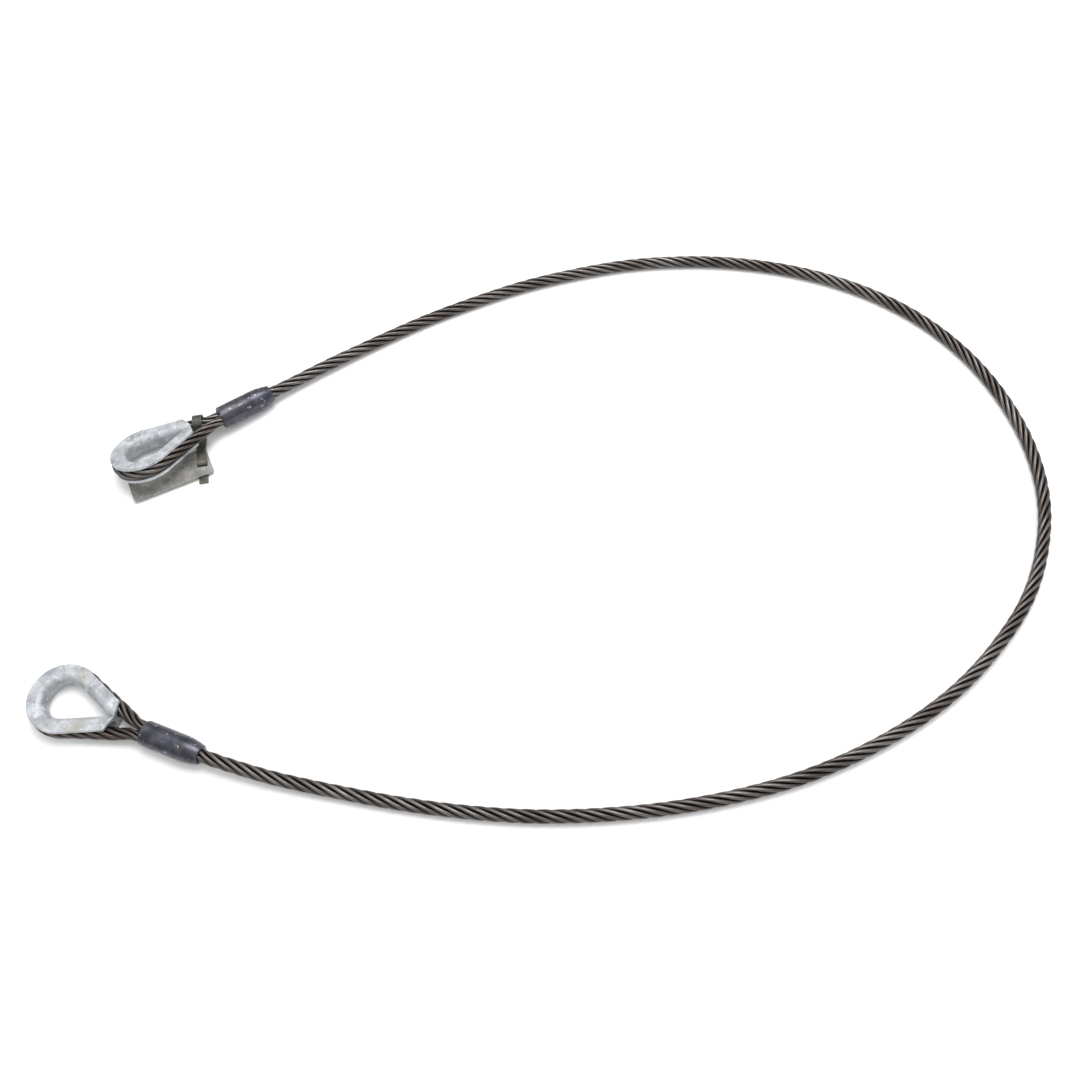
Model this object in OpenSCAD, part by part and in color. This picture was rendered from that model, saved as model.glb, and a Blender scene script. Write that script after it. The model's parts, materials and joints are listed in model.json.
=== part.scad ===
// Single-leg wire-rope sling with a thimble eye at each end.
// Frame: the origin is the centre of the near eye's crown, +X runs from that crown
// towards its sleeve, +Z is up. The floor is the plane z = -thimble_h / 2.

/* [Rope] */
// Diameter of the wire rope
rope_d = 13; // [10.5:0.5:16]
// Length of one full turn of a strand, as a multiple of the rope's diameter
lay_ratio = 7; // [6.5:0.25:9]
// Share of its diameter that a leg of the eye keeps once it is pressed into the sleeve
pressed_share = 0.8; // [0.75:0.01:0.85]

/* [Thimble] */
// Radius of the seat at the crown of the eye
seat_r = 19; // [15.5:0.5:23]
// Width of the flat land along the middle of the seat
land_w = 6; // [5:0.5:8]
// Thickness of each flange beside the rope groove
flange_t = 3.4; // [2.8:0.1:4.2]
// Wall between the seat and the bottom of the rope groove
groove_wall = 4.3; // [3.5:0.1:5.5]
// How far a flange stands outside the middle of the rope
flange_reach = 5.2; // [4:0.1:6.4]
// Distance from the crown's centre to the inner corner where the legs meet
inner_tip_x = 50; // [41:0.5:60]
// How far the thimble's point stands beyond that inner corner
tip_length = 7.5; // [6:0.5:9]
// Lean of each leg's cut end from square to the eye
end_lean = 12; // [0:1:20]
// Gap between the two leg ends at the point
seam_gap = 0.4; // [0.2:0.1:1]
// Turn of each thimble inside its rope eye
thimble_turn = 2; // [0:0.5:2.5]

/* [Sleeve] */
// Length of the sleeve
sleeve_l = 63; // [52:1:76]
// Wall of the sleeve round its mouth
mouth_wall = 1.7; // [1.4:0.1:3]
// Wall of the sleeve round the pressed splice tails
tails_wall = 4.2; // [3.5:0.1:5]
// Wall of the sleeve round the rope at the tapered end
taper_wall = 3.2; // [2.6:0.1:4]
// Length of the taper
taper_l = 20; // [14:1:24]
// Depth of the mouth that takes both legs of the eye
mouth_depth = 12; // [10:1:15]
// Depth of the bore that takes the rope
rope_bore_depth = 20; // [16:1:24]
// Free length of the two rope legs between the thimble's point and the sleeve
throat = 32.5; // [32:0.5:40]

/* [Tag] */
// Length of the tag plate
plate_l = 90; // [75:1:108]
// Width of the tag plate
plate_w = 34; // [28:1:42]
// Thickness of the tag plate
plate_t = 2.5; // [2:0.1:3]
// Corner radius of the tag plate
plate_r = 3; // [1:0.5:6]
// Width of the steel band that holds the tag
band_w = 10; // [8:0.5:10.5]
// Thickness of the band
band_t = 1; // [0.8:0.1:1.2]
// Length of the band's folded tail beyond its slot
tail_l = 22; // [18:1:27]

/* [Fits] */
// Clearance between the rope and its groove, on the radius
groove_clear = 0.4; // [0.3:0.05:0.6]
// Clearance round the two legs in the sleeve's mouth, on the radius
mouth_clear = 0.3; // [0.2:0.05:0.6]
// Clearance between the band's loop and the rope that it goes round
band_clear = 2; // [1.5:0.1:2.2]
// Clearance between the doubled band and each side of its slot in the plate
slot_clear = 2; // [1.6:0.1:2.5]

/* [Hidden] */

rope_grey = "#5b5758";
galvanised = "#c3c6c6";
sleeve_grey = "#55565f";
band_grey = "#6b6d66";
$fn = 64;

// Six strands laid round a core, each just clear of the next
rope_r = rope_d / 2;
lay = lay_ratio * rope_d;
helix_share = 0.3405;
helix_r = helix_share * rope_d;
strand_r = rope_r - helix_r;
core_r = 0.95 * (helix_r - strand_r);

// The thimble's section, and the rope's own line round the crown
groove_r = rope_r + groove_clear;
thimble_h = 2 * (groove_r + flange_t);
crown_r = seat_r + groove_wall + groove_r;
flange_r = crown_r + flange_reach;
edge_r = (thimble_h - land_w) / 2;
flange_round = 1.2;
leg_inset = 0.05;
leg_angle = asin(seat_r / inner_tip_x);
tip_x = inner_tip_x + tip_length;

// The sleeve
leg_gap = pressed_share * rope_r + 0.1;
mouth_x = tip_x + throat;
mouth_r = leg_gap + pressed_share * rope_r + mouth_clear;
sleeve_r = mouth_r + mouth_wall;
tails_r = sleeve_r - tails_wall;
sleeve_end_r = rope_r + taper_wall;
sleeve_round = 2.2;
sleeve_end_round = 1.4;
bore_clear = 0.1;

// One side of the eye's line: crown arc, straight leg, blend arc, straight into the mouth
blend_r = 40;
blend_run = 4;
blend_x = mouth_x - blend_run;
blend_reach = norm([blend_x, leg_gap + blend_r]);
leg_run = sqrt(pow(blend_reach, 2) - pow(crown_r + blend_r, 2));
leg_lean = asin((crown_r + blend_r) / blend_reach) - atan2(leg_gap + blend_r, blend_x);
arc_end = crown_r * (90 + leg_lean) * PI / 180;
leg_end = arc_end + leg_run;
blend_end = leg_end + blend_r * leg_lean * PI / 180;
eye_half = blend_end + blend_run + mouth_depth;
press_run = 26;

// Heights above the floor, and where the far eye lies
floor_z = -thimble_h / 2;
sleeve_lift = 0.1;
near_rise = sleeve_r + sleeve_lift + floor_z;
far_spot = [-69.5, 271];
far_heading = 56.3;
far_tilt = -20;
far_rest = 0.5;
far_height = far_rest + thimble_h / 2 * cos(far_tilt) - flange_r * sin(far_tilt);
far_pitch = asin((far_height - sleeve_r - sleeve_lift) / (mouth_x + sleeve_l));

// Middle line of the free rope, from just outside the far sleeve to the near one, the third
// value being how far it hangs clear of the floor
rope_z = floor_z + rope_r;
route = [
    [29, 419, 3.8], [57, 459, 2.8], [96, 511, 0.8], [136, 560, 0], [179, 605, 0],
    [225, 648, 0], [275, 686, 0], [328, 720, 0], [385, 747, 0], [444, 767, 0],
    [506, 779, 0], [568, 782, 0], [631, 774, 0], [690, 754, 0], [744, 721, 0],
    [789, 678, 0], [825, 627, 0], [849, 569, 0], [858, 507, 0], [854, 445, 0],
    [836, 384, 0], [810, 327, 0], [776, 275, 0], [735, 227, 0], [689, 184, 0],
    [639, 147, 0], [585, 114, 0], [529, 86, 0], [471, 62, 0], [411, 43, 0],
    [350, 28, 0], [288, 16, 0.8], [228, 6, 2.8], [178, 1, 5.8]];
rope_sides = 10;
strand_sides = 6;
strand_rings = 46;

// The tag's band goes round the far leg of the far eye, just beyond the thimble's point
band_heading = -25;
band_back = 9.5;
band_x = tip_x + band_back;
band_leg_y = (crown_r - band_x * sin(leg_lean)) / cos(leg_lean);
band_loop_r = rope_r + band_clear + band_t / 2;
slot_run = 49;
plate_bottom = 2 * band_t + 0.9;
plate_mid = plate_bottom + plate_t / 2;
tail_mid = band_t + 0.3;
upper_mid = plate_bottom + plate_t + 0.7 + band_t;
plate_centre = [11.5, -25.5];
plate_heading = -10;
slot_extra = 2;

// ---- Helpers ----

function unit(v) = v / norm(v);
function smooth(t) = let (u = min(max(t, 0), 1)) u * u * (3 - 2 * u);
function turn_x(v, a) = [v.x, v.y * cos(a) - v.z * sin(a), v.y * sin(a) + v.z * cos(a)];
function turn_y(v, a) = [v.x * cos(a) + v.z * sin(a), v.y, v.z * cos(a) - v.x * sin(a)];
function turn_z(v, a) = [v.x * cos(a) - v.y * sin(a), v.x * sin(a) + v.y * cos(a), v.z];

// A point of the far eye's own frame, placed in the sling's frame
function in_far_eye(v) =
    turn_z(turn_y(turn_x(v, far_tilt), far_pitch), far_heading)
    + [far_spot.x, far_spot.y, far_height + floor_z];

module far_eye() {
    translate([far_spot.x, far_spot.y, far_height + floor_z])
        rotate([0, 0, far_heading]) rotate([0, far_pitch, 0]) rotate([far_tilt, 0, 0])
            children();
}

// The upright frame under the far eye's crown, with z = 0 on the floor
module far_floor() {
    translate([far_spot.x, far_spot.y, floor_z]) rotate([0, 0, far_heading]) children();
}

// Closed tube through a list of rings, each a list of the same number of points
module skin(rings) {
    sides = len(rings[0]);
    last = len(rings) - 1;
    points = [for (ring = rings) each ring];
    walls = [for (i = [0:last - 1], k = [0:sides - 1])
        let (a = i * sides + k, b = i * sides + (k + 1) % sides)
        [[a, b, b + sides], [a, b + sides, a + sides]]];
    caps = [[for (k = [sides - 1:-1:0]) k], [for (k = [0:sides - 1]) last * sides + k]];
    polyhedron(points, concat([for (w = walls) each w], caps), convexity = 6);
}

// One ring of radius r at point p, square to direction t, with a point straight down
function ring_at(p, t, r, sides) =
    let (across = unit(cross([0, 0, 1], t)), up = cross(t, across))
    [for (k = [0:sides - 1])
        let (a = 360 * k / sides - 90) p + r * (across * cos(a) + up * sin(a))];

// ---- The free rope ----

function catmull(a, b, c, d, t) =
    0.5 * ((2 * b) + (c - a) * t + (2 * a - 5 * b + 4 * c - d) * t * t
           + (3 * b - a - 3 * c + d) * t * t * t);

far_sleeve_end = in_far_eye([mouth_x + sleeve_l, 0, 0]);
far_bore_end = in_far_eye([mouth_x + sleeve_l - rope_bore_depth, 0, 0]);
near_sleeve_end = [mouth_x + sleeve_l, 0, near_rise];
near_bore_end = near_sleeve_end - [rope_bore_depth, 0, 0];
laid = [for (p = route) [p.x, p.y, rope_z + p.z]];
rope_line = concat([far_bore_end, far_sleeve_end], laid, [near_sleeve_end, near_bore_end]);
rope_last = len(rope_line) - 1;
halves = 2;
rope_points = concat(
    [rope_line[0]],
    [for (i = [1:rope_last - 2], h = [0:halves - 1])
        catmull(rope_line[i - 1], rope_line[i], rope_line[i + 1], rope_line[i + 2], h / halves)],
    [rope_line[rope_last - 1], rope_line[rope_last]]);

function line_way(points, i) =
    unit(points[min(i + 1, len(points) - 1)] - points[max(i - 1, 0)]);

module sling_rope() {
    color(rope_grey)
        skin([for (i = [0:len(rope_points) - 1])
            ring_at(rope_points[i], line_way(rope_points, i), rope_r, rope_sides)]);
}

// ---- The rope eye ----

// Point and heading on the eye's line, s along it from the middle of the crown (s >= 0)
function eye_side(s) =
    s <= arc_end
        ? let (a = 180 - s / crown_r * 180 / PI) [crown_r * cos(a), crown_r * sin(a), a - 90]
    : s <= leg_end
        ? [crown_r * sin(leg_lean) + (s - arc_end) * cos(leg_lean),
           crown_r * cos(leg_lean) - (s - arc_end) * sin(leg_lean), -leg_lean]
    : s <= blend_end
        ? let (a = (blend_end - s) / blend_r * 180 / PI)
          [blend_x - blend_r * sin(a), leg_gap + blend_r * (1 - cos(a)), -a]
    : [blend_x + s - blend_end, leg_gap, 0];

// The same with both signs of s, and with the lift between the thimble and the sleeve
function eye_point(s, rise) =
    let (q = eye_side(abs(s)), lift = smooth((q.x - tip_x) / (blend_x - tip_x)))
    [q.x, s < 0 ? -q.y : q.y, rise * lift];
function eye_heading(s) = let (q = eye_side(abs(s))) s < 0 ? 180 - q.z : q.z;

// The bundle of strands tightens towards the sleeve
function bundle(s) =
    1 - (1 - pressed_share) * smooth((abs(s) - (blend_end - press_run)) / press_run);

// Middle of a strand that starts its turn at angle phase
function strand_point(s, phase, rise) =
    let (h = eye_heading(s), a = phase + 360 * s / lay, r = helix_r * bundle(s))
    eye_point(s, rise) + r * [-sin(h) * cos(a), cos(h) * cos(a), sin(a)];

function eye_step(i, rings) = eye_half * (2 * i / (rings - 1) - 1);

module eye_strand(number, rise) {
    phase = 60 * number;
    step = 0.5;
    color(rope_grey)
        skin([for (i = [0:strand_rings - 1])
            let (s = eye_step(i, strand_rings),
                 square_end = i == 0 || i == strand_rings - 1,
                 h = eye_heading(s),
                 way = square_end
                     ? [cos(h), sin(h), 0]
                     : unit(strand_point(s + step, phase, rise)
                            - strand_point(s - step, phase, rise)))
            ring_at(strand_point(s, phase, rise), way, strand_r * bundle(s), strand_sides)]);
}

module eye_core(rise) {
    step = 0.5;
    color(rope_grey)
        skin([for (i = [0:strand_rings - 1])
            let (s = eye_step(i, strand_rings), h = eye_heading(s),
                 square_end = i == 0 || i == strand_rings - 1,
                 way = square_end
                     ? [cos(h), sin(h), 0]
                     : unit(eye_point(s + step, rise) - eye_point(s - step, rise)))
            ring_at(eye_point(s, rise), way, core_r * bundle(s), strand_sides)]);
}

// ---- The thimble ----

// Right half of the section, x being the distance from the middle of the crown, with every
// face drawn in by inset
module thimble_section(inset) {
    rim_x = flange_r - flange_round;
    rim_y = thimble_h / 2 - flange_round;
    difference() {
        union() {
            translate([seat_r + edge_r, inset - thimble_h / 2])
                square([rim_x - seat_r - edge_r, thimble_h - 2 * inset]);
            translate([seat_r + inset, -land_w / 2]) square([edge_r, land_w]);
            for (side = [-1, 1]) {
                intersection() {
                    translate([seat_r + edge_r, side * land_w / 2]) circle(edge_r - inset);
                    translate([seat_r, side > 0 ? 0 : -thimble_h / 2])
                        square([edge_r, thimble_h / 2]);
                }
                translate([rim_x, side * rim_y]) circle(flange_round - inset, $fn = 32);
                translate([rim_x - 0.1, side > 0 ? groove_r - 0.5 : -rim_y])
                    square([flange_round + 0.1 - inset, rim_y - groove_r + 0.5]);
            }
        }
        translate([crown_r, 0]) circle(groove_r + inset);
        translate([crown_r, -groove_r - inset]) square([flange_r, 2 * (groove_r + inset)]);
    }
}

// One straight leg, cut at the seam and leaning at its end. It runs a little way into the
// crown, and its faces lie a hair inside the crown's
module thimble_leg() {
    back = 1;
    intersection() {
        rotate([0, 0, 90 - leg_angle]) rotate([90, 0, 0]) translate([0, 0, -back])
            linear_extrude(tip_x + flange_r) thimble_section(leg_inset);
        linear_extrude(thimble_h + 2, center = true)
            polygon([[0, seam_gap / 2], [tip_x, seam_gap / 2],
                     [tip_x - 2 * flange_r * tan(end_lean), 2 * flange_r + seam_gap / 2],
                     [-flange_r, 2 * flange_r]]);
    }
}

module thimble() {
    color(galvanised) rotate([0, 0, thimble_turn]) {
        rotate([0, 0, 90 - leg_angle])
            rotate_extrude(angle = 180 + 2 * leg_angle) thimble_section(0);
        thimble_leg();
        rotate([180, 0, 0]) thimble_leg();
    }
}

// ---- The sleeve ----

arc_steps = 5;
taper_steps = 8;

function sleeve_outline() = concat(
    [[mouth_r, 0]],
    [for (i = [0:arc_steps]) let (a = 90 * i / arc_steps)
        [sleeve_r - sleeve_round * (1 - sin(a)), sleeve_round * (1 - cos(a))]],
    [for (i = [0:taper_steps]) let (t = i / taper_steps)
        [sleeve_r - (sleeve_r - sleeve_end_r) * pow(t, 1.8), sleeve_l - sleeve_end_round
         - (taper_l - sleeve_end_round) * (1 - t)]],
    [for (i = [1:arc_steps]) let (a = 90 * i / arc_steps)
        [sleeve_end_r - sleeve_end_round * (1 - cos(a)),
         sleeve_l - sleeve_end_round * (1 - sin(a))]],
    [[rope_r + bore_clear, sleeve_l], [rope_r + bore_clear, sleeve_l - rope_bore_depth],
     [tails_r, sleeve_l - rope_bore_depth], [tails_r, mouth_depth], [mouth_r, mouth_depth]]);

module sleeve(rise) {
    color(sleeve_grey) translate([mouth_x, 0, rise]) rotate([0, 90, 0])
        rotate_extrude() polygon(sleeve_outline());
}

module splice_tails(rise) {
    color(rope_grey) translate([mouth_x + mouth_depth, 0, rise]) rotate([0, 90, 0])
        cylinder(h = sleeve_l - mouth_depth - rope_bore_depth, r = tails_r);
}

// ---- The tag ----

// A strip of thickness t along an open line of [run, height] points
function strip(line, t) =
    let (last = len(line) - 1,
         side = [for (i = [0:last])
             let (way = unit(line[min(i + 1, last)] - line[max(i - 1, 0)])) [-way.y, way.x]])
    concat([for (i = [0:last]) line[i] + side[i] * t / 2],
           [for (i = [last:-1:0]) line[i] - side[i] * t / 2]);

// Height of the rope leg inside the loop, above the floor
loop_height = far_height + band_leg_y * sin(far_tilt) * cos(far_pitch)
              - band_x * sin(far_pitch);
join_run = slot_run - 15;
loop_line = concat(
    [[join_run, upper_mid + band_t / 2], [28, upper_mid + band_t * 0.3],
     [24, upper_mid - band_t * 0.5], [20, upper_mid - band_t], [13, upper_mid - band_t * 1.1],
     [9.5, upper_mid - band_t * 0.7]],
    [for (a = [-50:15:250]) [band_loop_r * cos(a), loop_height + band_loop_r * sin(a)]],
    [[3, 3.6], [12, 3.4], [20, 4.1], [28, upper_mid - band_t * 1.1],
     [join_run, upper_mid - band_t / 2]]);
doubled_line = [
    [join_run - 1, upper_mid], [slot_run - 4, upper_mid], [slot_run - 1, upper_mid - 0.5],
    [slot_run, upper_mid - 1.6], [slot_run, tail_mid + 1.6], [slot_run + 1, tail_mid + 0.5],
    [slot_run + 4, tail_mid], [slot_run + tail_l, tail_mid]];

module in_band_frame() {
    translate([band_x, band_leg_y, 0]) rotate([0, 0, band_heading])
        rotate([90, 0, -90]) translate([0, 0, -band_w / 2]) children();
}

module tag_band() {
    color(band_grey) far_floor() in_band_frame() linear_extrude(band_w) {
        polygon(strip(loop_line, band_t));
        polygon(strip(doubled_line, 2 * band_t));
    }
}

module plate_outline() {
    half = [plate_l / 2 - plate_r, plate_w / 2 - plate_r];
    square([plate_l, 2 * half.y], center = true);
    square([2 * half.x, plate_w], center = true);
    for (i = [-1, 1], j = [-1, 1]) translate([i * half.x, j * half.y]) circle(plate_r, $fn = 32);
}

module tag_plate() {
    color(galvanised) far_floor() difference() {
        translate([plate_centre.x, plate_centre.y, plate_bottom]) rotate([0, 0, plate_heading])
            linear_extrude(plate_t) plate_outline();
        in_band_frame() translate([slot_run, plate_mid, band_w / 2])
            cube([2 * (band_t + slot_clear), 3 * plate_t, band_w + slot_extra], center = true);
    }
}

// ---- Nodes ----

module near_thimble() { thimble(); }
module near_sleeve() { sleeve(near_rise); }
module near_splice_tails() { splice_tails(near_rise); }
module near_eye_core() { eye_core(near_rise); }
module near_eye_strand(number) { eye_strand(number, near_rise); }
module far_thimble() { far_eye() thimble(); }
module far_sleeve() { far_eye() sleeve(0); }
module far_splice_tails() { far_eye() splice_tails(0); }
module far_eye_core() { far_eye() eye_core(0); }
module far_eye_strand(number) { far_eye() eye_strand(number, 0); }

sling_rope();
near_thimble();
near_sleeve();
near_splice_tails();
near_eye_core();
near_eye_strand(1);  // near_eye_strand_1
near_eye_strand(2);  // near_eye_strand_2
near_eye_strand(3);  // near_eye_strand_3
near_eye_strand(4);  // near_eye_strand_4
near_eye_strand(5);  // near_eye_strand_5
near_eye_strand(6);  // near_eye_strand_6
far_thimble();
far_sleeve();
far_splice_tails();
far_eye_core();
far_eye_strand(1);  // far_eye_strand_1
far_eye_strand(2);  // far_eye_strand_2
far_eye_strand(3);  // far_eye_strand_3
far_eye_strand(4);  // far_eye_strand_4
far_eye_strand(5);  // far_eye_strand_5
far_eye_strand(6);  // far_eye_strand_6
tag_band();
tag_plate();
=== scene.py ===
# %% [markdown]
# A wire rope sling lies in a loose loop on a pale floor, with a thimble eye at each end.
# The real sling is six strands of wire laid round a core, bent round two zinc-coated
# thimbles and held by two pressed steel sleeves. A blank metal tag hangs on a steel band.
# The frame that is loaded here holds the measured solids. This script keeps the thimbles,
# sleeves and tag, whose shapes are already right, and makes the rope again with its strands
# and wires.

# %% Load the frame
import json
from math import asin, atan2, cos, pi, radians, sin, sqrt
import bpy
import numpy as np
from mathutils import Matrix, Vector


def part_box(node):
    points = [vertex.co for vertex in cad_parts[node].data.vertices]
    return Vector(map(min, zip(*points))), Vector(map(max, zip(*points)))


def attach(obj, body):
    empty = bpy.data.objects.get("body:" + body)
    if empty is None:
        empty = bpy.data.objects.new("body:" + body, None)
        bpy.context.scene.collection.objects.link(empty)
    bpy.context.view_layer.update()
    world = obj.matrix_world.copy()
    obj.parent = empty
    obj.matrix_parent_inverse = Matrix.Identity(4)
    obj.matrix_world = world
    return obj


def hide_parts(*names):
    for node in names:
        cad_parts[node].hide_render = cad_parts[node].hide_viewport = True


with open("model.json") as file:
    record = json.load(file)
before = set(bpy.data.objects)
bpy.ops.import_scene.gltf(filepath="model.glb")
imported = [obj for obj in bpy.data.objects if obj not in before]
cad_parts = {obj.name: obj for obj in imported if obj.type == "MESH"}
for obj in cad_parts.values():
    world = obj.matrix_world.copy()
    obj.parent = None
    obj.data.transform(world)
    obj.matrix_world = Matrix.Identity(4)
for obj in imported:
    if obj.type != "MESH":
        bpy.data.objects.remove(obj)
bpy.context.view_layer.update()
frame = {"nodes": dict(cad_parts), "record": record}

mm = 0.001
floor_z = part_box("near_thimble")[0][2]

# %% [markdown]
# The camera looks down on the sling from about 62 degrees, from the near eye's side of it.
# A camera can be aimed with a target and a constraint, but here its axes are written out:
# right, up and back are the columns of its rotation, which keeps its small roll exact. With
# the lens as long as the sensor is wide, the view is about 53 degrees across.

# %% Camera
camera_data = bpy.data.cameras.new("camera")
camera_data.sensor_width = 36
camera_data.lens = camera_data.sensor_width
camera = bpy.data.objects.new("camera", camera_data)
bpy.context.scene.collection.objects.link(camera)
camera_spot = Vector((0.5902, -0.1520, 0.9985))
right = Vector((0.93016, 0.36604, -0.0280)).normalized()
back = Vector((0.19473, -0.42731, 0.8829)).normalized()
up = back.cross(right).normalized()
right = up.cross(back)
turned = Matrix((right, up, back)).transposed().to_4x4()
camera.matrix_world = Matrix.Translation(camera_spot) @ turned
bpy.context.scene.camera = camera
print("camera height above the floor", round(camera_spot.z - floor_z, 3))

# %% [markdown]
# The rope's sizes come first, because everything else on the sling follows from them. A
# strand's middle runs on a helix round the rope's own line, one turn in seven rope
# diameters, to the right. The wires inside a strand turn the other way, so that the ones
# you see lie almost along the rope. That is what makes a rope look laid, not grooved.

# %% Rope sizes
rope_d = 13 * mm
rope_lay = 7 * rope_d
strands = 6
helix_r = 0.3405 * rope_d
strand_r = 2.12 * mm
core_r = 2.4 * mm
wire_lay = 42.5 * mm
wires = 9
wire_crown = 0.09 * mm
wire_groove = 0.13 * mm
print(strands, "strands of", wires, "outer wires, lay", round(rope_lay, 3), "m")


# %% [markdown]
# A helix needs a steady pair of directions square to the rope's line at every point. Taking
# the curve's own bend would flip on straight stretches, so one direction is always level and
# the other completes the pair. Both come from the line's heading alone.

# %% Lines and the directions round them
def along(points):
    """Distance from the start to each point of a line."""
    return np.r_[0, np.cumsum(np.linalg.norm(np.diff(points, axis=0), axis=1))]


def evenly(points, spacing):
    """The same line with points at an even spacing."""
    s = along(points)
    even = np.linspace(0, s[-1], max(2, int(round(s[-1] / spacing)) + 1))
    return np.stack([np.interp(even, s, points[:, k]) for k in range(3)], axis=1)


def directions(points):
    """Unit vectors square to the line at each point: level across it, and upward from it."""
    way = np.gradient(points, axis=0)
    way /= np.linalg.norm(way, axis=1)[:, None]
    across = np.cross([0, 0, 1], way)
    across /= np.linalg.norm(across, axis=1)[:, None]
    return across, np.cross(way, across)


def smooth_line(marks, samples):
    """Catmull-Rom curve through the marks, with that many samples between two of them."""
    p = np.vstack([2 * marks[0] - marks[1], marks, 2 * marks[-1] - marks[-2]])
    t = np.linspace(0, 1, samples, endpoint=False)[:, None]
    parts = []
    for a, b, c, d in zip(p, p[1:], p[2:], p[3:]):
        parts.append(0.5 * (2 * b + (c - a) * t + (2 * a - 5 * b + 4 * c - d) * t ** 2
                            + (3 * b - a - 3 * c + d) * t ** 3))
    return np.vstack(parts + [marks[-1:]])


# %% [markdown]
# One mesh holds a whole stretch of rope. Each strand is a tube whose section is not round:
# it has a small bump for each outer wire. The rings of points are numbered with the wires,
# so the bumps turn as the wires do and every edge of the mesh runs along a wire.

# %% Tubes and strands
def tube_faces(rings, sides, first):
    """Faces of one closed tube whose points are numbered from first, ring by ring."""
    i = np.arange(rings - 1)[:, None] * sides + first
    k = np.arange(sides)
    n = (k + 1) % sides
    quads = np.stack([i + k, i + n, i + n + sides, i + k + sides], axis=2).reshape(-1, 4)
    faces = quads.tolist()
    faces.append(list(range(first + sides - 1, first - 1, -1)))
    faces.append(list(range(first + (rings - 1) * sides, first + rings * sides)))
    return faces


def rope_piece(name, points, faces, facing):
    """A smooth-shaded piece of rope that rides with the sling, with each point's facing."""
    mesh = bpy.data.meshes.new(name)
    mesh.from_pydata([tuple(p) for p in points], [], faces)
    mesh.polygons.foreach_set("use_smooth", [True] * len(mesh.polygons))
    mesh.attributes.new("crown", "FLOAT", "POINT").data.foreach_set(
        "value", np.asarray(facing, dtype=np.float32))
    mesh.materials.append(rope_material)
    piece = bpy.data.objects.new(name, mesh)
    bpy.context.scene.collection.objects.link(piece)
    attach(piece, "sling")
    print(name, len(mesh.polygons), "faces")
    return piece


def laid_rope(line, bundle, start=0.0):
    """Points and faces of the strands along an evenly spaced line, and how far each point
    faces away from the rope's middle, from 1 on a crown to -1 inside. bundle is the share
    of full size at each point of the line, and start is where the lay's turn is counted from."""
    s = along(line) + start
    across, upward = directions(line)
    count = len(line)
    sides = 2 * wires
    points, facing = [], []
    for strand in range(strands):
        turn = 2 * pi * (strand / strands + s / rope_lay)
        out = across * np.cos(turn)[:, None] + upward * np.sin(turn)[:, None]
        side = -across * np.sin(turn)[:, None] + upward * np.cos(turn)[:, None]
        middle = line + out * (helix_r * bundle)[:, None]
        spin = -2 * pi * s / wire_lay
        for k in range(sides):
            bump = wire_crown if k % 2 == 0 else -wire_groove
            a = spin + 2 * pi * k / sides
            r = ((strand_r + bump) * bundle)[:, None]
            points.append(middle + r * (out * np.cos(a)[:, None] + side * np.sin(a)[:, None]))
            facing.append(np.cos(a))
    rings = np.array(points).reshape(strands, sides, count, 3).transpose(0, 2, 1, 3)
    faces = [f for k in range(strands) for f in tube_faces(count, sides, k * count * sides)]
    facing = np.array(facing).reshape(strands, sides, count).transpose(0, 2, 1)
    return rings.reshape(-1, 3), faces, facing.ravel()


def rope_core(line, bundle):
    """Points, faces and facing of the plain core inside the strands. Its facing is -1 all
    over, so it takes the painted shade colour of the grooves."""
    sides = 8
    across, upward = directions(line)
    a = 2 * pi * np.arange(sides)[None, :, None] / sides
    rings = line[:, None] + core_r * bundle[:, None, None] * (
        across[:, None] * np.cos(a) + upward[:, None] * np.sin(a))
    points = rings.reshape(-1, 3)
    return points, tube_faces(len(line), sides, 0), np.full(len(points), -1.0)


# %% [markdown]
# Materials are small node trees. Every one mixes two or three tones by noise at the scale of
# the real blotches, then adds fine speckle, roughness that follows the dirt, and a little
# bump. A helper adds one node and its links, so that each finish reads as a short list.

# %% Material helpers
def srgb(r, g, b):
    """Linear colour from 0 to 255 screen values."""
    def one(v):
        v /= 255
        return v / 12.92 if v <= 0.04045 else ((v + 0.055) / 1.055) ** 2.4
    return one(r), one(g), one(b), 1


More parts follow.
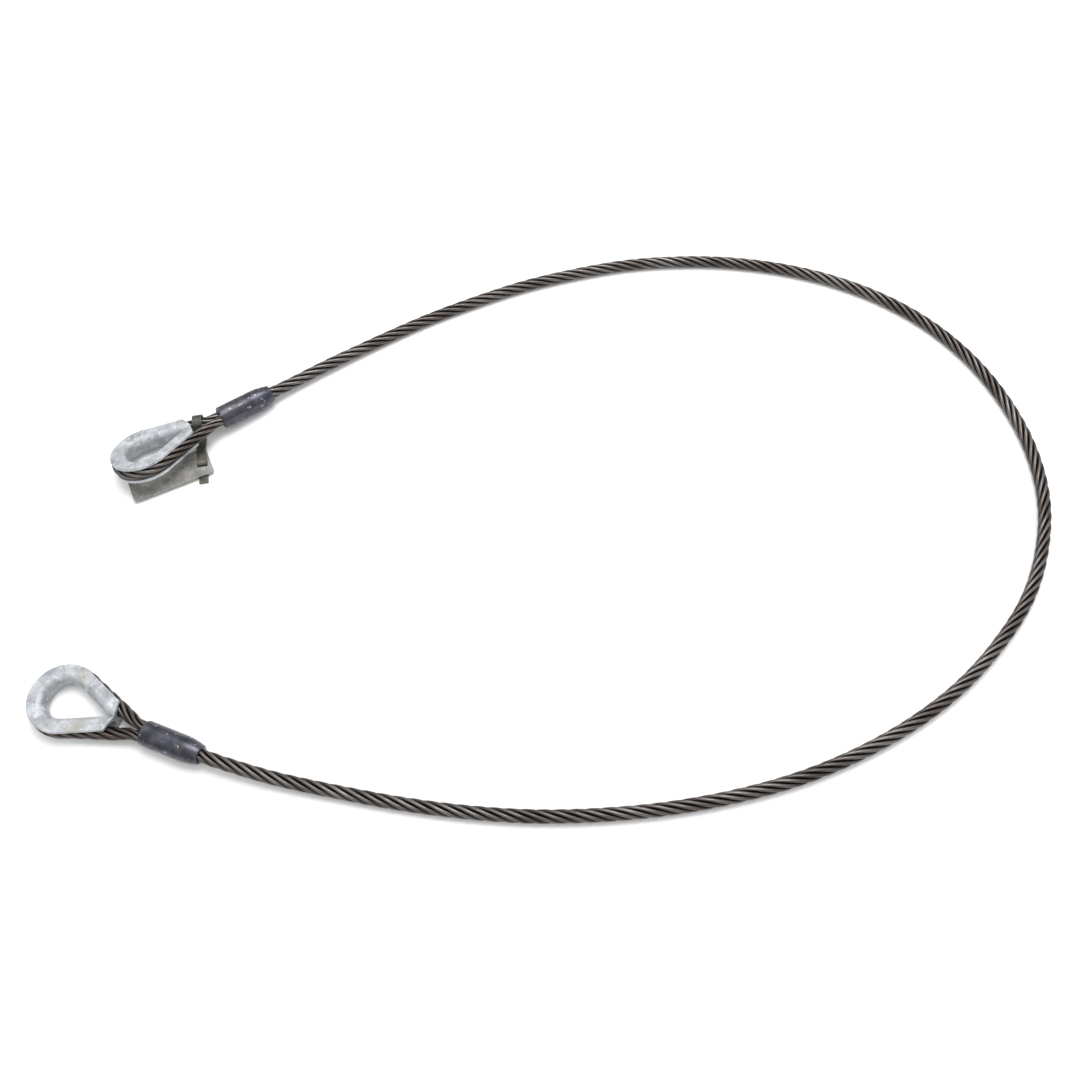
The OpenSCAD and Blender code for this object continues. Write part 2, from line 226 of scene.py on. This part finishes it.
class Finish:
    """A Principled material that is built up node by node."""

    def __init__(self, name, metallic, roughness):
        self.material = bpy.data.materials.new(name)
        self.material.use_nodes = True
        self.nodes = self.material.node_tree.nodes
        self.links = self.material.node_tree.links
        self.shader = self.nodes["Principled BSDF"]
        self.shader.inputs["Metallic"].default_value = metallic
        self.shader.inputs["Roughness"].default_value = roughness
        self.place = self.nodes.new("ShaderNodeTexCoord").outputs["Object"]

    def noise(self, size, detail=4):
        """Noise with blotches of about that size in metres."""
        node = self.nodes.new("ShaderNodeTexNoise")
        node.inputs["Scale"].default_value = 1 / size
        node.inputs["Detail"].default_value = detail
        self.links.new(self.place, node.inputs["Vector"])
        return node.outputs["Fac"]

    def ramp(self, value, low, high, start=0.0, end=1.0):
        """start below low, end above high, and a straight change between."""
        node = self.nodes.new("ShaderNodeMapRange")
        for name, number in (("From Min", low), ("From Max", high),
                             ("To Min", start), ("To Max", end)):
            node.inputs[name].default_value = number
        self.links.new(value, node.inputs["Value"])
        return node.outputs["Result"]

    def mix(self, share, a, b):
        """Colour a where share is 0 and colour b where it is 1. The node has sockets for
        several kinds of value: its colours are inputs 6 and 7 and output 2."""
        node = self.nodes.new("ShaderNodeMix")
        node.data_type = "RGBA"
        self.links.new(share, node.inputs["Factor"])
        for socket, value in ((node.inputs[6], a), (node.inputs[7], b)):
            if isinstance(value, tuple):
                socket.default_value = value
            else:
                self.links.new(value, socket)
        return node.outputs[2]

    def crowns(self, low, high):
        """0 in the grooves between strands and 1 on their crowns, from the stored facing: the
        mask of the painted groove shade.
        """
        stored = self.nodes.new("ShaderNodeAttribute")
        stored.attribute_name = "crown"
        return self.ramp(stored.outputs["Fac"], low, high)

    def edges(self, width, strength):
        """strength along edges about that wide, and 0 on the faces between them."""
        rounded = self.nodes.new("ShaderNodeBevel")
        rounded.inputs["Radius"].default_value = width
        geometry = self.nodes.new("ShaderNodeNewGeometry")
        match = self.nodes.new("ShaderNodeVectorMath")
        match.operation = "DOT_PRODUCT"
        self.links.new(rounded.outputs["Normal"], match.inputs[0])
        self.links.new(geometry.outputs["Normal"], match.inputs[1])
        return self.ramp(match.outputs["Value"], 0.99, 0.9, 0, strength)

    def bump(self, height, strength, distance):
        """Relief of at most that distance in metres, with no change to the mesh."""
        node = self.nodes.new("ShaderNodeBump")
        node.inputs["Strength"].default_value = strength
        node.inputs["Distance"].default_value = distance
        self.links.new(height, node.inputs["Height"])
        self.links.new(node.outputs["Normal"], self.shader.inputs["Normal"])

    def set(self, socket, value):
        """Links a value to the shader's socket of that name."""
        self.links.new(value, self.shader.inputs[socket])


# %% [markdown]
# The rope's wires are bare steel under dark grease, with a brown tint where it has dried.
# The grooves between the strands are painted near black as shade, and the crowns of the
# strands keep the steel's tones. The strands were made with each point's facing stored, and
# that tells the two apart.

# %% Rope steel
def rope_steel():
    """Greasy wire: two greys, brown tints, and painted shade in the grooves."""
    f = Finish("rope_steel", 0.8, 0.4)
    blotch = f.ramp(f.noise(0.045), 0.35, 0.65)
    steel = f.mix(blotch, srgb(122, 118, 115), srgb(84, 77, 73))
    rust = f.ramp(f.noise(0.012, 6), 0.58, 0.74, 0, 0.45)
    steel = f.mix(rust, steel, srgb(100, 74, 52))
    # Painted shade: the grooves between the strands are near black, and the crowns take the
    # steel's tones.
    f.set("Base Color", f.mix(f.crowns(0.15, 0.95), srgb(22, 20, 19), steel))
    f.set("Roughness", f.ramp(f.noise(0.006), 0.3, 0.7, 0.26, 0.46))
    f.bump(f.noise(0.0012, 3), 0.25, 0.0002)
    return f.material


rope_material = rope_steel()
print("made", rope_material.name)

# %% [markdown]
# The free rope is made before the eyes, because it is the piece that decides how much floor
# the sling covers. Its marks are the same round numbers that the solid model uses, as x, y
# and height above the resting line, in millimetres. The far eye's place is read from the
# record, and the line runs 19 mm into each sleeve's bore.

# %% The free rope
mouth_x = 90 * mm
sleeve_l = 63 * mm
in_bore = 19 * mm
near_rise = 2.3 * mm
far_heading = radians(56.3)
far_pitch = radians(3.63)
far_tilt = radians(-20)
rest_z = floor_z + rope_d / 2
marks = [
    (29, 419, 3.8), (57, 459, 2.8), (96, 511, 0.8), (136, 560, 0), (179, 605, 0),
    (225, 648, 0), (275, 686, 0), (328, 720, 0), (385, 747, 0), (444, 767, 0),
    (506, 779, 0), (568, 782, 0), (631, 774, 0), (690, 754, 0), (744, 721, 0),
    (789, 678, 0), (825, 627, 0), (849, 569, 0), (858, 507, 0), (854, 445, 0),
    (836, 384, 0), (810, 327, 0), (776, 275, 0), (735, 227, 0), (689, 184, 0),
    (639, 147, 0), (585, 114, 0), (529, 86, 0), (471, 62, 0), (411, 43, 0),
    (350, 28, 0), (288, 16, 0.8), (228, 6, 2.8), (178, 1, 5.8)]
laid = np.array([(x * mm, y * mm, rest_z + lift * mm) for x, y, lift in marks])

mount_spots = {mount["name"]: mount["pos_m"] for mount in frame["record"]["mounts"]}
far_eye = (Matrix.Translation(mount_spots["far_eye"])
           @ Matrix.Rotation(far_heading, 4, "Z")
           @ Matrix.Rotation(far_pitch, 4, "Y")
           @ Matrix.Rotation(far_tilt, 4, "X"))
far_end = np.array(far_eye @ Vector((mouth_x + sleeve_l, 0, 0)))
far_bore = np.array(far_eye @ Vector((mouth_x + sleeve_l - in_bore, 0, 0)))
near_end = np.array((mouth_x + sleeve_l, 0, near_rise))
near_bore = near_end - (in_bore, 0, 0)

rope_marks = np.vstack([near_bore, near_end, laid[::-1], far_end, far_bore])
rope_line = evenly(smooth_line(rope_marks, samples=12), spacing=2.4 * mm)
whole = np.ones(len(rope_line))
sling_rope = rope_piece("laid_sling_rope", *laid_rope(rope_line, whole))
sling_core = rope_piece("sling_rope_core", *rope_core(rope_line, whole))
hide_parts("sling_rope")

# %% [markdown]
# Each eye's rope follows the thimble: a half circle and a bit, two straight legs, and a
# gentle bend into the sleeve's mouth, where the two legs are pressed to four fifths of
# their size. Written as arc, line, arc, the line is exact at every size of rope.

# %% The rope of the two eyes
crown_r = 30.2 * mm
tip_x = 57.5 * mm
pressed = 0.8
leg_space = 0.1 * mm
leg_gap = pressed * rope_d / 2 + leg_space
blend_r = 40 * mm
blend_x = mouth_x - 4 * mm
mouth_depth = 12 * mm
reach = sqrt(blend_x ** 2 + (leg_gap + blend_r) ** 2)
lean = asin((crown_r + blend_r) / reach) - atan2(leg_gap + blend_r, blend_x)
leg_run = sqrt(reach ** 2 - (crown_r + blend_r) ** 2)
arc_end = crown_r * (pi / 2 + lean)
leg_end = arc_end + leg_run
blend_end = leg_end + blend_r * lean
eye_half = blend_end + mouth_x + mouth_depth - blend_x
press_run = 26 * mm
eye_step = 2 * mm


def eye_xy(s):
    """Point of one side of the eye's line, s along it from the crown's middle."""
    if s <= arc_end:
        a = pi - s / crown_r
        return crown_r * cos(a), crown_r * sin(a)
    if s <= leg_end:
        run = s - arc_end
        return (crown_r * sin(lean) + run * cos(lean), crown_r * cos(lean) - run * sin(lean))
    if s <= blend_end:
        a = (blend_end - s) / blend_r
        return blend_x - blend_r * sin(a), leg_gap + blend_r * (1 - cos(a))
    return blend_x + s - blend_end, leg_gap


def smoothstep(t):
    """0 below 0, 1 above 1, and an easy change between."""
    t = np.clip(t, 0, 1)
    return t * t * (3 - 2 * t)


def eye_rope(end, rise, place):
    """The laid rope round one thimble, from one side of the sleeve's mouth to the other."""
    s = np.linspace(-eye_half, eye_half, int(2 * eye_half / eye_step))
    line = []
    for value in s:
        x, y = eye_xy(abs(value))
        lift = float(smoothstep((x - tip_x) / (blend_x - tip_x)))
        line.append((x, y if value >= 0 else -y, rise * lift))
    bundle = 1 - (1 - pressed) * smoothstep((np.abs(s) - blend_end + press_run) / press_run)
    line = np.array(line)
    strand_nodes = [f"{end}_eye_strand_{k + 1}" for k in range(strands)]
    for kind, nodes, (points, faces, facing) in (
            ("strands", strand_nodes, laid_rope(line, bundle, start=-eye_half)),
            ("core", [f"{end}_eye_core"], rope_core(line, bundle))):
        placed = [place @ Vector(p) for p in points]
        piece = rope_piece(f"{end}_laid_{kind}", placed, faces, facing)
        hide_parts(*nodes)


for end, rise, place in (("near", near_rise, Matrix.Identity(4)), ("far", 0, far_eye)):
    eye_rope(end, rise, place)
print("eye leans", round(lean * 180 / pi, 2), "degrees")

# %% [markdown]
# The thimbles are steel dipped in molten zinc. Zinc sets in soft grey clouds, keeps pale
# crusts and pits, and stains brown where it has been rubbed through. Its skin is dull, and
# a fully metallic shader would look like chrome: part metal and high roughness are closer.

# %% Zinc
def zinc(name, pale, light, mid, stain, metallic):
    """Zinc in clouds of mid and light, with pale crusts, stains, specks and rubbed edges."""
    f = Finish(name, metallic, 0.55)
    cloud = f.ramp(f.noise(0.014, 5), 0.36, 0.64)
    tone = f.mix(cloud, mid, light)
    crust = f.ramp(f.noise(0.0045, 6), 0.55, 0.68, 0, 0.75)
    tone = f.mix(crust, tone, pale)
    patch = f.ramp(f.noise(0.022, 7), 0.57, 0.7, 0, 0.6)
    tone = f.mix(patch, tone, stain)
    speck = f.ramp(f.noise(0.0024, 2), 0.66, 0.72, 0, 0.8)
    tone = f.mix(speck, tone, srgb(98, 90, 82))
    f.set("Base Color", f.mix(f.edges(0.5 * mm, 0.6), tone, srgb(220, 222, 224)))
    f.set("Roughness", f.ramp(f.noise(0.009), 0.3, 0.7, 0.42, 0.72))
    f.bump(f.noise(0.0022, 5), 0.45, 0.0004)
    return f.material


def finish_node(node, material):
    """Gives a carried-over CAD node its finish."""
    piece = frame["nodes"][node]
    if not piece.material_slots:
        piece.data.materials.append(material)
    for slot in piece.material_slots:
        slot.material = material


thimble_zinc = zinc("thimble_zinc", srgb(212, 215, 218), srgb(188, 192, 197),
                    srgb(146, 149, 153), srgb(160, 153, 140), 0.35)
for end in ("near", "far"):
    finish_node(f"{end}_thimble", thimble_zinc)
plate_zinc = zinc("plate_zinc", srgb(170, 170, 166), srgb(146, 146, 142),
                  srgb(118, 117, 112), srgb(124, 113, 98), 0.45)
finish_node("tag_plate", plate_zinc)
print("zinc on two thimbles and the plate")

# %% [markdown]
# The sleeves were squeezed on in a press, which leaves a dark, slightly violet skin with a
# bright streak along the top, rubbed rims, and pale scuffs. The streak is the light's own
# reflection, so it needs only a fairly low roughness. The rims come from a bevel node,
# which knows an edge by how its normal bends, and works on a mesh with few points.

# %% Sleeve and band steel
def sleeve_steel():
    """Dark pressed steel with pale scuffs, brown tints and rubbed rims."""
    f = Finish("sleeve_steel", 0.65, 0.38)
    tone = f.mix(f.ramp(f.noise(0.012, 5), 0.35, 0.65), srgb(80, 80, 91), srgb(52, 52, 59))
    scuff = f.ramp(f.noise(0.005, 9), 0.63, 0.68, 0, 0.7)
    tone = f.mix(scuff, tone, srgb(176, 174, 172))
    brown = f.ramp(f.noise(0.02, 6), 0.6, 0.74, 0, 0.25)
    tone = f.mix(brown, tone, srgb(104, 84, 66))
    f.set("Base Color", f.mix(f.edges(0.6 * mm, 0.55), tone, srgb(168, 166, 168)))
    f.set("Roughness", f.ramp(f.noise(0.004, 5), 0.3, 0.7, 0.22, 0.42))
    f.bump(f.noise(0.0016, 4), 0.25, 0.0003)
    return f.material


def band_steel():
    """Dull strapping with rust and bright cut edges."""
    f = Finish("band_steel", 0.6, 0.42)
    tone = f.mix(f.ramp(f.noise(0.01, 5), 0.35, 0.65), srgb(96, 98, 90), srgb(66, 66, 60))
    rust = f.ramp(f.noise(0.006, 6), 0.6, 0.7, 0, 0.7)
    tone = f.mix(rust, tone, srgb(120, 94, 66))
    f.set("Base Color", f.mix(f.edges(0.25 * mm, 0.8), tone, srgb(200, 200, 196)))
    f.set("Roughness", f.ramp(f.noise(0.003, 5), 0.3, 0.7, 0.3, 0.52))
    f.bump(f.noise(0.0012, 4), 0.3, 0.0003)
    return f.material


dark_steel = sleeve_steel()
for end in ("near", "far"):
    finish_node(f"{end}_sleeve", dark_steel)
    finish_node(f"{end}_splice_tails", rope_material)
finish_node("tag_band", band_steel())
print("steel on two sleeves and the band")

# %% [markdown]
# The floor is plain and pale, so that the rope's dark line reads clearly. One large soft
# light overhead gives the long highlights along the strands. The sky is bright overhead and
# dim at the horizon, so that upright faces stay darker than those that face up.

# %% Floor and light
floor_finish = Finish("floor", 0.0, 0.9)
floor_finish.shader.inputs["Base Color"].default_value = (0.94, 0.94, 0.94, 1)
floor_drop = 0.2 * mm
floor_mesh = bpy.data.meshes.new("floor")
half = 30.0
floor_mesh.from_pydata([(-half, -half, 0), (half, -half, 0), (half, half, 0), (-half, half, 0)],
                       [], [(0, 1, 2, 3)])
floor_mesh.materials.append(floor_finish.material)
floor = bpy.data.objects.new("floor", floor_mesh)
floor.location = (0.4, 0.4, floor_z - floor_drop)
bpy.context.scene.collection.objects.link(floor)

world = bpy.data.worlds.new("studio")
world.use_nodes = True
sky = world.node_tree.nodes
height = sky.new("ShaderNodeSeparateXYZ")
world.node_tree.links.new(sky.new("ShaderNodeTexCoord").outputs["Generated"],
                          height.inputs["Vector"])
tone = sky.new("ShaderNodeValToRGB")
horizon, overhead = tone.color_ramp.elements
horizon.position = 0.05
horizon.color = (0.3, 0.3, 0.31, 1)
overhead.position = 0.85
overhead.color = (1, 1, 1, 1)
world.node_tree.links.new(height.outputs["Z"], tone.inputs["Fac"])
world.node_tree.links.new(tone.outputs["Color"], sky["Background"].inputs["Color"])
sky["Background"].inputs["Strength"].default_value = 1.15
bpy.context.scene.world = world
bpy.context.scene.view_settings.view_transform = "Standard"

key_data = bpy.data.lights.new("key", "AREA")
key_data.size = 1.5
key_data.energy = 46
key = bpy.data.objects.new("key", key_data)
key.location = (0.2, 1.1, 2.4)
middle = Vector((0.4, 0.38, 0))
key.rotation_euler = (middle - key.location).to_track_quat("-Z", "Y").to_euler()
bpy.context.scene.collection.objects.link(key)
print("key light", key_data.size, "m square, aimed at", tuple(round(v, 2) for v in middle))
